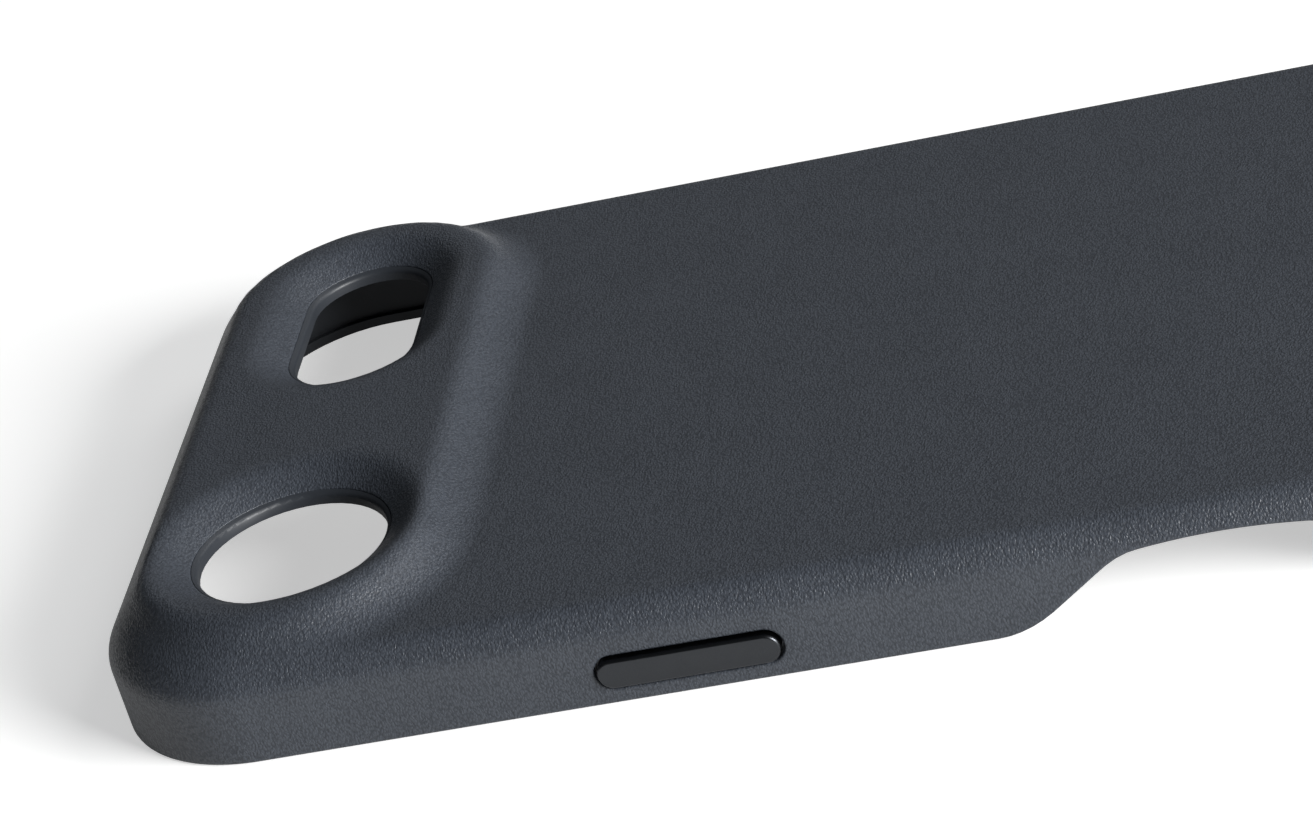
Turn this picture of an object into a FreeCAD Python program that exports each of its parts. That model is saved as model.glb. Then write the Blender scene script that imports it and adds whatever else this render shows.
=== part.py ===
import FreeCAD, Part
import math
import os

V = FreeCAD.Vector

# Case envelope: back up, open side down, camera end towards +Y.
WIDTH = 78.5
LENGTH = 160.0
BACK_Z = 8.75
CORNER_R = 14.0
LEATHER = 0.7

# The edge between wall and back: a round, a slope and a soft turn into the back.
SLOPE_DEG = 54.0
SLOPE_Z = 6.62
EDGE_ROUND = 2.5
EDGE_BLEND = 1.2

# Raised camera plateau: a long stadium along X with a soft ramp.
PLATEAU_Z = 11.4
PLATEAU_HALF = 22.6
PLATEAU_Y = 63.65
PLATEAU_FLAT_R = 11.45
CREST_R = 2.2
RAMP_BLEND = 3.4

# Pocket for the telephone, open downwards behind a small lip.
POCKET_W = 74.9
POCKET_L = 156.4
POCKET_CORNER = 12.2
LIP_Z = 0.9
LIP_IN = 0.55
LEATHER_FOOT = 0.05
POCKET_TOP = 7.0
LINING = 0.3
LINING_MARGIN = 1.4
LINING_STOP = 2.0

# Hollow under the plateau, with bosses round both openings.
HOLLOW_R = 11.9
HOLLOW_TOP = 9.6
BOSS_Z = 8.45
BOSS_WALL = 2.3

# Camera opening (round) and light opening (long), each with a smooth collar.
LENS_X = -20.9
LENS_R = 8.45
OPENING_Y = 63.5
LIGHT_X = 18.3
LIGHT_R = 5.7
LIGHT_HALF = 5.0
COLLAR = 0.45
COLLAR_ROUND = 0.45
COLLAR_STEP = 0.05
TUCK_Z = 9.7
COLLAR_GAP = 0.05
DISH_DEG = 32.0
DISH_BLEND = 0.7

OPENINGS = ((LENS_R, 0.0, LENS_X), (LIGHT_R, LIGHT_HALF, LIGHT_X))

# Side controls: cap outlines in the wall plane, all at one height.
BUTTON_Z = 3.0
CAP_H = 2.7
CAP_PROUD = 0.5
CAP_ROUND = 0.35
CAP_GAP = 0.22
SLOT_ROLL = 0.25
STEM_GAP = 0.15
FLANGE_T = 0.3
FLANGE_OVER = 0.85
FLANGE_H = 3.7
POCKET_DEPTH = 0.75
RECESS_PLAY = 0.2
SEAT_GAP = 0.02
SIDE_BUTTON = (28.25, 15.4)
VOLUME_UP = (32.0, 10.5)
VOLUME_DOWN = (18.5, 10.5)
ACTION = (46.0, 7.4)

# Scooped cut-away in the near wall.
SCOOP_Y = -15.9
SCOOP_TOP = 6.5
SCOOP_CROWN_R = 62.0
SCOOP_DEG = 35.3
SCOOP_FOOT_Y = 0.83
SCOOP_FOOT_R = 8.5
SCOOP_TOP_R = 6.0

# Bottom end: connector slot and two sound slots.
PORT_L = 12.6
PORT_H = 5.0
SOUND_X = 19.5
SOUND_L = 14.0
SOUND_H = 2.0
END_SLOT_Z = 3.75
END_ROLL = 0.4


def rounded_wire(w, l, r, z):
    """Closed rounded rectangle at height z, centred on the axis."""
    x, y = w / 2, l / 2
    k = r * (1 - math.sqrt(0.5))
    edges = []
    for sx, sy in ((1, 1), (-1, 1), (-1, -1), (1, -1)):
        a = V(sx * x, sy * (y - r), z)
        m = V(sx * (x - k), sy * (y - k), z)
        b = V(sx * (x - r), sy * y, z)
        if sx * sy < 0:
            a, b = b, a
        edges.append((a, m, b))
    out = []
    for i, (a, m, b) in enumerate(edges):
        out.append(Part.Arc(a, m, b).toShape())
        out.append(Part.LineSegment(b, edges[(i + 1) % 4][0]).toShape())
    return Part.Wire(out)


def rounded_prism(w, l, r, z0, z1):
    """Upright prism on a rounded rectangle."""
    return Part.Face(rounded_wire(w, l, r, z0)).extrude(V(0, 0, z1 - z0))


def bump_height(r, inset):
    """Height of the plateau's flank at distance r from its centre line."""
    a = math.radians(SLOPE_DEG)
    rho = CREST_R - inset
    centre = PLATEAU_Z - CREST_R
    if r <= PLATEAU_FLAT_R:
        return centre + rho
    end = PLATEAU_FLAT_R + rho * math.sin(a)
    if r < end:
        return centre + math.sqrt(rho ** 2 - (r - PLATEAU_FLAT_R) ** 2)
    return centre + rho * math.cos(a) - (r - end) * math.tan(a)


def edge_height(x, y, inset):
    """Height of the sloped edge at a place, from its distance to the outline."""
    a = math.radians(SLOPE_DEG)
    qx = abs(x) - (WIDTH / 2 - CORNER_R)
    qy = abs(y) - (LENGTH / 2 - CORNER_R)
    d = CORNER_R - math.hypot(max(qx, 0.0), max(qy, 0.0)) - min(max(qx, qy), 0.0)
    return SLOPE_Z + d * math.tan(a) - inset / math.cos(a)


def soft_max(a, b, k):
    """Larger of two heights, rounded over a band k."""
    return max(a, b) + max(k - abs(a - b), 0.0) ** 2 / (4 * k)


def soft_min(a, b, k):
    """Smaller of two heights, rounded over a band k."""
    return -soft_max(-a, -b, k)


def stadium_distance(x, y, half, cx, cy):
    """Distance from a centre line of given half length along X."""
    return math.hypot(max(abs(x - cx) - half, 0.0), y - cy)


def dish_height(x, y, hole_r, half, cx, inset):
    """Height of the sloped dish that leads into an opening."""
    a = math.radians(DISH_DEG)
    edge = hole_r + COLLAR + COLLAR_GAP
    run = stadium_distance(x, y, half, cx, OPENING_Y) - edge
    z = TUCK_Z + run * math.tan(a) - inset / math.cos(a)
    return soft_max(z, TUCK_Z - inset - 1.2, 0.6)


def top_height(x, y, inset):
    """Height of the back with plateau, edge and both dishes blended in."""
    up = bump_height(stadium_distance(x, y, PLATEAU_HALF, 0.0, PLATEAU_Y), inset)
    z = soft_max(up, BACK_Z - inset, RAMP_BLEND)
    z = soft_min(z, edge_height(x, y, inset), EDGE_BLEND)
    if y > PLATEAU_Y - 20.0:
        for hole_r, half, cx in OPENINGS:
            z = soft_min(z, dish_height(x, y, hole_r, half, cx, inset), DISH_BLEND)
    return z


def steps(a, b, n):
    """n equal steps from a to b, without b."""
    return [a + (b - a) * i / n for i in range(n)]


def envelope(inset):
    """Solid bounded by the case's outer form, moved in by inset."""
    prism = rounded_prism(WIDTH - 2 * inset, LENGTH - 2 * inset, CORNER_R - inset, 0.0, 14.0)
    xs = steps(-42.0, 42.0, 90) + [42.0]
    ys = steps(-83.0, -61.0, 22) + steps(-61.0, 41.0, 14) + steps(41.0, 83.0, 46) + [83.0]
    sheet = Part.BSplineSurface()
    sheet.interpolate([[V(x, y, top_height(x, y, inset)) for y in ys] for x in xs])
    below = sheet.toShape().extrude(V(0, 0, -30.0))
    return prism.common(below).Solids[0]


def edges_near(shape, test):
    """Edges of a shape whose middle passes a test."""
    out = []
    for e in shape.Edges:
        m = e.valueAt((e.FirstParameter + e.LastParameter) / 2)
        if test(m, e):
            out.append(e)
    return out


def stadium_sweep(profile, half, cx, cy):
    """Sweep a profile (r, z) round a centre line of half length along X."""
    if half == 0:
        face = Part.Face(profile(cx, cy, 1))
        return face.revolve(V(cx, cy, 0), V(0, 0, 1), 360)
    right = Part.Face(profile(cx + half, cy, -1))
    left = Part.Face(profile(cx - half, cy, 1))
    out = right.revolve(V(cx + half, cy, 0), V(0, 0, 1), 180)
    out = out.fuse(left.revolve(V(cx - half, cy, 0), V(0, 0, 1), 180))
    for side in (1, -1):
        out = out.fuse(Part.Face(profile(cx - half, cy, side)).extrude(V(2 * half, 0, 0)))
    return out.removeSplitter()


def profile_wire(items, cx, cy, side):
    """Closed wire in the YZ plane from points and (mid, end) arcs in (r, z)."""
    def at(p):
        return V(cx, cy + side * p[0], p[1])
    edges = []
    last = items[0]
    for item in items[1:] + items[:1]:
        if len(item) == 4:
            edges.append(Part.Arc(at(last), at(item[:2]), at(item[2:])).toShape())
            last = item[2:]
        else:
            edges.append(Part.LineSegment(at(last), at(item)).toShape())
            last = item
    return Part.Wire(edges)


def collar_profile(hole_r):
    """Smooth collar that carries the dish on and rounds over into the opening."""
    a = math.radians(DISH_DEG)
    rim = TUCK_Z - COLLAR_STEP
    q = COLLAR_ROUND
    r0 = hole_r + q
    z0 = rim - (COLLAR - q) * math.tan(a) - q / math.cos(a)

    def on(angle):
        return (r0 + q * math.cos(angle), z0 + q * math.sin(angle))
    end = math.pi / 2 + a
    items = [(hole_r, BOSS_Z), on(math.pi), on((math.pi + end) / 2) + on(end)]
    items += [(hole_r + COLLAR, rim), (hole_r + COLLAR, BOSS_Z)]
    return lambda cx, cy, side: profile_wire(items, cx, cy, side)


def plain_profile(r, z0, z1):
    """Rectangular profile from the centre line out to r."""
    items = [(0, z0), (r, z0), (r, z1), (0, z1)]
    return lambda cx, cy, side: profile_wire(items, cx, cy, side)


def flared_profile(r, z0, zs, q):
    """Slot profile that rolls outwards where it meets the surface zs."""
    end = math.radians(98.0)
    mid = math.radians(139.0)

    def on(angle):
        return (r + q + q * math.cos(angle), zs - q + q * math.sin(angle))
    tip = on(end)
    far = (tip[0] + 2.0, tip[1] + 2.0 * math.tan(math.radians(8.0)))
    items = [(0, z0), (r, z0), (r, zs - q), on(mid) + tip, far]
    items += [(far[0], zs + 2), (0, zs + 2)]
    return lambda cx, cy, side: profile_wire(items, cx, cy, side)


def to_wall(solid, side, y, z, turn=0):
    """Stand a solid built on +Z so that its +Z points out of a wall."""
    s = solid.copy()
    if turn == 0:
        m = FreeCAD.Matrix(0, 0, side, 0, side, 0, 0, y, 0, 1, 0, z, 0, 0, 0, 1)
    else:
        m = FreeCAD.Matrix(1, 0, 0, y, 0, 0, -1, 0, 0, 1, 0, z, 0, 0, 0, 1)
    s.transformShape(m)
    return s


def slot(length, height, z0, z1, q=0.0):
    """Stadium slot on +Z between z0 and z1, rolled outwards by q at z1."""
    r = height / 2
    half = length / 2 - r
    shape = flared_profile(r, z0, z1, q) if q else plain_profile(r, z0, z1)
    return stadium_sweep(shape, half, 0, 0)


def scoop_tool():
    """Solid of the cut-away in the near wall, long in X."""
    a = math.radians(SCOOP_DEG)
    t = SCOOP_FOOT_R * math.tan(a / 2)
    half = SCOOP_FOOT_Y - SCOOP_Y
    cy, cz = half + t, SCOOP_FOOT_R - 0.02

    def foot(angle):
        return (cy - SCOOP_FOOT_R * math.sin(angle), cz - SCOOP_FOOT_R * math.cos(angle))

    def crown(u):
        return SCOOP_TOP - SCOOP_CROWN_R + math.sqrt(SCOOP_CROWN_R ** 2 - u ** 2)
    u = half
    for _ in range(40):
        u = half - (crown(u) + 0.02) / math.tan(a)
    top = (u, crown(u))

    def at(p, side):
        return V(-46.0, SCOOP_Y + side * p[0], p[1])
    edges = [Part.Arc(at(top, -1), at((0, SCOOP_TOP), 1), at(top, 1)).toShape()]
    for side in (1, -1):
        edges.append(Part.LineSegment(at(top, side), at(foot(a), side)).toShape())
        edges.append(Part.Arc(at(foot(a), side), at(foot(a / 2), side), at(foot(0), side)).toShape())
        edges.append(Part.LineSegment(at(foot(0), side), at((foot(0)[0], -3.0), side)).toShape())
    low = (foot(0)[0], -3.0)
    edges.append(Part.LineSegment(at(low, 1), at(low, -1)).toShape())
    wire = Part.Wire(Part.__sortEdges__(edges))
    tool = Part.Face(wire).extrude(V(46.0 - 35.6, 0, 0))
    ridge = edges_near(tool, lambda m, e: abs(m.z - top[1]) < 0.01 and m.x > -45.9 and m.x < -35.7)
    return tool.makeFillet(SCOOP_TOP_R, ridge)


def controls():
    """Side, centre and cap length of every control."""
    return {
        "side_button": (-1, SIDE_BUTTON),
        "volume_up_button": (1, VOLUME_UP),
        "volume_down_button": (1, VOLUME_DOWN),
        "action_button": (1, ACTION),
    }


def control_tools(side, y, length, face_x, inner_x):
    """Leather slot, stem slot and flange recess for one control."""
    leather = slot(length + 2 * CAP_GAP, CAP_H + 2 * CAP_GAP, inner_x - 1, face_x, SLOT_ROLL)
    stem = slot(length + 2 * STEM_GAP, CAP_H + 2 * STEM_GAP, inner_x - 1, face_x)
    recess = slot(length + 2 * (FLANGE_OVER + RECESS_PLAY), FLANGE_H + 2 * RECESS_PLAY,
                  inner_x - 0.5, inner_x + POCKET_DEPTH)
    return [to_wall(s, side, y, BUTTON_Z) for s in (leather, stem, recess)]


def control_solid(side, y, length, face_x, inner_x):
    """One control: rounded cap with a thin flange behind the wall."""
    seat = inner_x + POCKET_DEPTH - SEAT_GAP
    cap = slot(length, CAP_H, seat - 0.1, face_x + CAP_PROUD)
    rim = edges_near(cap, lambda m, e: abs(m.z - face_x - CAP_PROUD) < 0.001)
    cap = cap.makeFillet(CAP_ROUND, rim)
    flange = slot(length + 2 * FLANGE_OVER, FLANGE_H, seat - FLANGE_T, seat)
    return to_wall(cap.fuse(flange).removeSplitter(), side, y, BUTTON_Z)


def end_slots(q):
    """Connector slot and sound slots through the bottom wall."""
    y = LENGTH / 2
    sizes = [(0.0, PORT_L, PORT_H), (SOUND_X, SOUND_L, SOUND_H), (-SOUND_X, SOUND_L, SOUND_H)]
    return [to_wall(slot(l, h, y - 6, y + (0 if q else 3), q), 1, x, END_SLOT_Z, 1)
            for x, l, h in sizes]


def cut_all(shape, tools):
    """Take a list of solids out of a shape."""
    for t in tools:
        shape = shape.cut(t)
    return shape.removeSplitter()


def main():
    """Build every piece and write one file for each."""
    os.makedirs("parts", exist_ok=True)
    face_x = WIDTH / 2
    inner_x = POCKET_W / 2

    outer = envelope(0.0)
    waist = edges_near(outer, lambda m, e: abs(m.z - SLOPE_Z) < 0.4 and e.BoundBox.ZLength < 0.4)
    outer = outer.makeFillet(EDGE_ROUND, waist)
    core = envelope(LEATHER)

    scoop = scoop_tool()
    leather_tools = [scoop] + end_slots(END_ROLL)
    shell_tools = [scoop] + end_slots(0.0)
    collars = []
    for hole_r, half, cx in OPENINGS:
        window = plain_profile(hole_r + COLLAR + COLLAR_GAP, 4.0, 16.0)
        leather_tools.append(stadium_sweep(window, half, cx, OPENING_Y))
        shell_tools.append(stadium_sweep(plain_profile(hole_r, 4.0, 16.0), half, cx, OPENING_Y))
        collars.append(stadium_sweep(collar_profile(hole_r), half, cx, OPENING_Y))

    nodes = {}
    for name, (side, (y, length)) in controls().items():
        cap, stem, recess = control_tools(side, y, length, face_x, inner_x)
        leather_tools.append(cap)
        shell_tools += [stem, recess]
        nodes[name] = control_solid(side, y, length, face_x, inner_x)

    foot = Part.makeBox(100, 200, 5 + LEATHER_FOOT, V(-50, -100, -5))
    nodes["leather_skin"] = cut_all(outer.cut(core), leather_tools + [foot])

    pocket = rounded_prism(POCKET_W, POCKET_L, POCKET_CORNER, LIP_Z, POCKET_TOP)
    pocket = pocket.makeFillet(0.8, edges_near(pocket, lambda m, e: abs(m.z - POCKET_TOP) < 0.001))
    mouth = rounded_prism(POCKET_W - 2 * LIP_IN, POCKET_L - 2 * LIP_IN,
                          POCKET_CORNER - LIP_IN, -1.0, LIP_Z + 0.1)
    hollow = stadium_sweep(plain_profile(HOLLOW_R, POCKET_TOP - 0.5, HOLLOW_TOP),
                           PLATEAU_HALF, 0, PLATEAU_Y)
    for hole_r, half, cx in OPENINGS:
        boss = plain_profile(hole_r + BOSS_WALL, BOSS_Z, 12.0)
        hollow = hollow.cut(stadium_sweep(boss, half, cx, OPENING_Y))
    shell = cut_all(core, [pocket, mouth, hollow] + shell_tools)
    for collar in collars:
        shell = shell.fuse(collar)
    nodes["inner_shell"] = shell.removeSplitter()

    low, high = -POCKET_L / 2 + LINING_MARGIN, PLATEAU_Y - HOLLOW_R - LINING_STOP
    lining = rounded_prism(POCKET_W - 2 * LINING_MARGIN, POCKET_L - 2 * LINING_MARGIN,
                           POCKET_CORNER - LINING_MARGIN, POCKET_TOP - LINING, POCKET_TOP)
    lining = lining.common(Part.makeBox(90, high - low + 5, 10, V(-45, low - 5, 0)))
    nodes["back_lining"] = lining

    for name, shape in nodes.items():
        shape.exportStep("parts/" + name + ".step")
        print(name, shape.isValid(), len(shape.Solids), round(shape.Volume, 1))


main()
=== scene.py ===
"""Leather phone case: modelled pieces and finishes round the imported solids."""

import logging
import math
from collections.abc import Sequence
from dataclasses import dataclass
from enum import Enum

import bmesh
import bpy
import numpy as np
from mathutils import Matrix, Vector


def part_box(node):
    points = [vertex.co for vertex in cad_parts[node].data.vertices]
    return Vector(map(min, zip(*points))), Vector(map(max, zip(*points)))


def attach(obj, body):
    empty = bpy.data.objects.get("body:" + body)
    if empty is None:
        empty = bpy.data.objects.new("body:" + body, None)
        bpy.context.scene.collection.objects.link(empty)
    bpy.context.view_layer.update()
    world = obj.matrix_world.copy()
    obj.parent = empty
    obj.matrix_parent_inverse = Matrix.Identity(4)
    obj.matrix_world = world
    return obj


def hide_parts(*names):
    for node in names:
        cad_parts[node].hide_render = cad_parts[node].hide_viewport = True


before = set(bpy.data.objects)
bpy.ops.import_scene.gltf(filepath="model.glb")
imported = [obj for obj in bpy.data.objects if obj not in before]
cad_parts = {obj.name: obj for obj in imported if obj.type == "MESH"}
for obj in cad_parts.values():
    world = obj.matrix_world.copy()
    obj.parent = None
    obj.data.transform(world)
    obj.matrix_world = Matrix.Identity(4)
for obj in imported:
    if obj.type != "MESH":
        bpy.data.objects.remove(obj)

LOG = logging.getLogger("phone_case")
MM = 0.001
SLIVER = 0.009 * MM
SOFT_CREASE = 40.0
STATION = "station"


class Body(Enum):
    """Bodies that a piece can ride on."""

    CASE = "case"
    SIDE = "side_button"
    VOLUME_UP = "volume_up_button"
    VOLUME_DOWN = "volume_down_button"
    ACTION = "action_button"


class Slot(Enum):
    """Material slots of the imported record."""

    LEATHER = "leather"
    SHELL = "shell"
    LINING = "lining"
    CONTROL = "control"


class Wall(Enum):
    """Faces of the case that an opening can go through."""

    BACK = "back"
    NEAR = "near"
    FAR = "far"
    BOTTOM = "bottom"


def soft_max(a: np.ndarray, b: np.ndarray, k: float) -> np.ndarray:
    """Larger of two heights, rounded over a band.

    Args:
        a: First heights.
        b: Second heights.
        k: Band in which the two are blended.

    Returns:
        The blended heights.
    """
    near = np.maximum(k - np.abs(a - b), 0.0)
    return np.maximum(a, b) + near ** 2 / (4 * k)


def soft_min(a: np.ndarray, b: np.ndarray, k: float) -> np.ndarray:
    """Smaller of two heights, rounded over a band.

    Args:
        a: First heights.
        b: Second heights.
        k: Band in which the two are blended.

    Returns:
        The blended heights.
    """
    return -soft_max(-a, -b, k)


def stadium_distance(x: np.ndarray, y: np.ndarray, half: float, cx: float, cy: float) -> np.ndarray:
    """Distance from a centre line along X.

    Args:
        x: Places along X.
        y: Places along Y.
        half: Half length of the centre line.
        cx: Middle of the line along X.
        cy: Middle of the line along Y.

    Returns:
        The distances.
    """
    return np.hypot(np.maximum(np.abs(x - cx) - half, 0.0), y - cy)


def use_only(obj: bpy.types.Object) -> None:
    """Make one object the selected and active one.

    Args:
        obj: The object to work on.
    """
    bpy.ops.object.select_all(action="DESELECT")
    obj.select_set(True)
    bpy.context.view_layer.objects.active = obj


def new_piece(name: str) -> bpy.types.Object:
    """Name the primitive that was just added.

    Args:
        name: Name of the piece and of its mesh.

    Returns:
        The active object.
    """
    obj = bpy.context.view_layer.objects.active
    obj.name = name
    obj.data.name = name
    return obj


def apply_modifiers(obj: bpy.types.Object) -> None:
    """Apply every modifier of a piece.

    Args:
        obj: The piece.
    """
    use_only(obj)
    for modifier in list(obj.modifiers):
        bpy.ops.object.modifier_apply(modifier=modifier.name)


def smooth(obj: bpy.types.Object, degrees: float) -> None:
    """Shade a piece smooth, with creases where faces turn sharply.

    Args:
        obj: The piece.
        degrees: Turn from which an edge stays sharp.
    """
    use_only(obj)
    bpy.ops.object.shade_smooth_by_angle(angle=math.radians(degrees))


def recalculate_normals(obj: bpy.types.Object, merge: float = 0.0) -> None:
    """Turn all faces of a closed piece outwards.

    Args:
        obj: The piece.
        merge: Distance under which doubles are merged first, or nothing.
    """
    use_only(obj)
    bpy.ops.object.mode_set(mode="EDIT")
    bpy.ops.mesh.select_all(action="SELECT")
    if merge:
        bpy.ops.mesh.remove_doubles(threshold=merge)
    bpy.ops.mesh.normals_make_consistent(inside=False)
    bpy.ops.object.mode_set(mode="OBJECT")


def extrude_rings(obj: bpy.types.Object, rings: Sequence[np.ndarray]) -> None:
    """Extrude the selected edge loop ring by ring, each vertex to its own station.

    Args:
        obj: A piece in edit mode, its loop selected and its stations numbered.
        rings: For each new ring the places of all stations.
    """
    for ring in rings:
        bpy.ops.mesh.extrude_region_move()
        mesh = bmesh.from_edit_mesh(obj.data)
        station = mesh.verts.layers.int[STATION]
        for vertex in mesh.verts:
            if vertex.select:
                vertex.co = ring[vertex[station]]
        bmesh.update_edit_mesh(obj.data)


@dataclass(frozen=True)
class Opening:
    """A hole in the back with a dish that leads into it.

    Attributes:
        name: Name of the opening.
        radius: Radius of the clear hole.
        half: Half length of its centre line.
        x: Middle of the opening along X.
    """

    name: str
    radius: float
    half: float
    x: float


@dataclass(frozen=True)
class CaseForm:
    """Outer form of the case: heights over its plan, in metres.

    Attributes:
        width: Width between the side walls.
        length: Length between the end walls.
        foot_z: Height at which the leather ends above the rim.
        plateau_z: Height of the camera plateau.
    """

    width: float
    length: float
    foot_z: float
    plateau_z: float
    back_z: float = 8.75 * MM
    corner_r: float = 14.0 * MM
    slope: float = math.radians(54.0)
    slope_z: float = 6.62 * MM
    edge_round: float = 2.5 * MM
    edge_blend: float = 1.2 * MM
    plateau_half: float = 22.6 * MM
    plateau_y: float = 63.65 * MM
    plateau_flat_r: float = 11.45 * MM
    crest_r: float = 2.2 * MM
    ramp_blend: float = 3.4 * MM
    opening_y: float = 63.5 * MM
    collar: float = 0.45 * MM
    collar_gap: float = 0.05 * MM
    tuck_z: float = 9.7 * MM
    dish_slope: float = math.radians(32.0)
    dish_blend: float = 0.7 * MM
    dish_reach: float = 20.0 * MM
    dish_floor: float = 1.2 * MM
    dish_floor_blend: float = 0.6 * MM
    scoop_y: float = -15.9 * MM
    scoop_half: float = 16.73 * MM
    scoop_top: float = 6.5 * MM
    scoop_crown_r: float = 62.0 * MM
    scoop_crown_share: float = 0.9
    scoop_slope: float = math.radians(35.3)
    scoop_foot_blend: float = 1.8 * MM
    scoop_top_blend: float = 0.85 * MM
    openings: tuple[Opening, ...] = (
        Opening("lens", 8.45 * MM, 0.0, -20.9 * MM),
        Opening("light", 5.7 * MM, 5.0 * MM, 18.3 * MM),
    )

    def bump(self, r: np.ndarray, inset: float) -> np.ndarray:
        """Height of the plateau's flank.

        Args:
            r: Distance from the plateau's centre line.
            inset: How far the surface lies inside the outer one.

        Returns:
            The heights.
        """
        rho = self.crest_r - inset
        centre = self.plateau_z - self.crest_r
        out = np.maximum(r - self.plateau_flat_r, 0.0)
        turn = rho * math.sin(self.slope)
        crest = centre + np.sqrt(np.maximum(rho ** 2 - np.minimum(out, turn) ** 2, 0.0))
        return crest - np.maximum(out - turn, 0.0) * math.tan(self.slope)

    def edge(self, x: np.ndarray, y: np.ndarray, inset: float) -> np.ndarray:
        """Height of the sloped edge between back and wall.

        Args:
            x: Places along X.
            y: Places along Y.
            inset: How far the surface lies inside the outer one.

        Returns:
            The heights.
        """
        qx = np.abs(x) - (self.width / 2 - self.corner_r)
        qy = np.abs(y) - (self.length / 2 - self.corner_r)
        outside = np.hypot(np.maximum(qx, 0.0), np.maximum(qy, 0.0))
        depth = self.corner_r - outside - np.minimum(np.maximum(qx, qy), 0.0)
        return self.slope_z + depth * math.tan(self.slope) - inset / math.cos(self.slope)

    def dish(self, x: np.ndarray, y: np.ndarray, opening: Opening, inset: float) -> np.ndarray:
        """Height of the dish that leads into an opening.

        Args:
            x: Places along X.
            y: Places along Y.
            opening: The opening.
            inset: How far the surface lies inside the outer one.

        Returns:
            The heights.
        """
        r = stadium_distance(x, y, opening.half, opening.x, self.opening_y)
        run = r - self.leather_radius(opening)
        z = self.tuck_z + run * math.tan(self.dish_slope) - inset / math.cos(self.dish_slope)
        return soft_max(z, self.tuck_z - inset - self.dish_floor, self.dish_floor_blend)

    def leather_radius(self, opening: Opening) -> float:
        """Radius at which the leather ends round an opening."""
        return opening.radius + self.collar + self.collar_gap

    def top(self, x: np.ndarray, y: np.ndarray, inset: float) -> np.ndarray:
        """Height of the back with plateau, edge and dishes blended in.

        Args:
            x: Places along X.
            y: Places along Y.
            inset: How far the surface lies inside the outer one.

        Returns:
            The heights.
        """
        r = stadium_distance(x, y, self.plateau_half, 0.0, self.plateau_y)
        z = soft_max(self.bump(r, inset), np.full_like(r, self.back_z - inset), self.ramp_blend)
        z = soft_min(z, self.edge(x, y, inset), self.edge_blend)
        for opening in self.openings:
            near = y > self.plateau_y - self.dish_reach
            z = np.where(near, soft_min(z, self.dish(x, y, opening, inset), self.dish_blend), z)
        return z

    def foot(self, x: np.ndarray, y: np.ndarray) -> np.ndarray:
        """Height of the wall's lower edge, raised by the scoop in the near wall.

        Args:
            x: Places along X.
            y: Places along Y.

        Returns:
            The heights.
        """
        u = np.abs(y - self.scoop_y)
        line = (self.scoop_half - u) * math.tan(self.scoop_slope)
        reach = np.minimum(u, self.scoop_crown_share * self.scoop_crown_r)
        crown = self.scoop_top - self.scoop_crown_r + np.sqrt(self.scoop_crown_r ** 2 - reach ** 2)
        rise = soft_min(line, crown, self.scoop_top_blend)
        rise = soft_max(rise, np.full_like(rise, self.foot_z), self.scoop_foot_blend)
        return np.where(x < 0.0, rise, self.foot_z)

    def outline_normal(self, x: np.ndarray, y: np.ndarray) -> np.ndarray:
        """Direction out of the plan at places near its outline.

        Args:
            x: Places along X.
            y: Places along Y.

        Returns:
            One unit vector in the plan for each place.
        """
        qx = np.maximum(np.abs(x) - (self.width / 2 - self.corner_r), 0.0) * np.sign(x)
        qy = np.maximum(np.abs(y) - (self.length / 2 - self.corner_r), 0.0) * np.sign(y)
        size = np.hypot(qx, qy)
        return np.stack([qx / size, qy / size], axis=1)


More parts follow.
